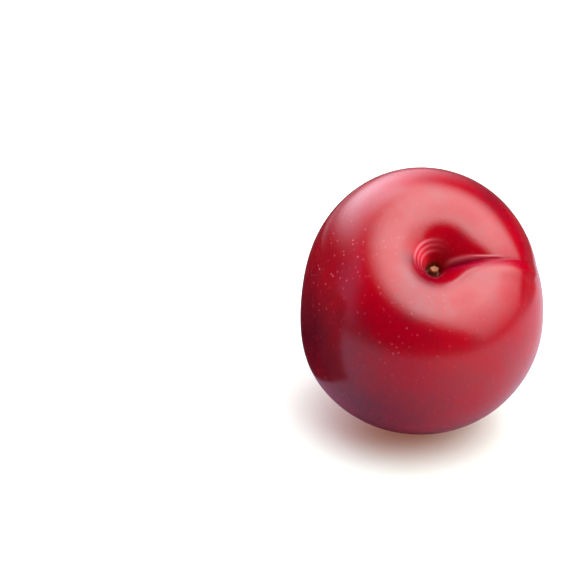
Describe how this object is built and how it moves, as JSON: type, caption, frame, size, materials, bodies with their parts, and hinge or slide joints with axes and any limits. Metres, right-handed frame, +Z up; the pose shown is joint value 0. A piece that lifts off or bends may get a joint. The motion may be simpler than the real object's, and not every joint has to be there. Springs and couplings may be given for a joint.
{
  "type": "plum",
  "caption": "Ripe red plum with a deep stem cavity, a suture line and the dry stub of its stem, lying on a small flat spot.",
  "frame": {"origin": "middle of the small flat spot that the plum rests on", "axes": "+Z up; the stem end leans towards -Y and a little towards +X; the suture runs over the +X side; +Y is behind"},
  "size_m": [0.0577, 0.0635, 0.0617],
  "materials": {
    "skin": "smooth waxy fruit skin, dark red with small pale dots",
    "stem": "dry, matt and fibrous"
  },
  "bodies": {
    "root": {"plum_fruit": "skin", "stem_stub": "stem"}
  },
  "joints": []
}
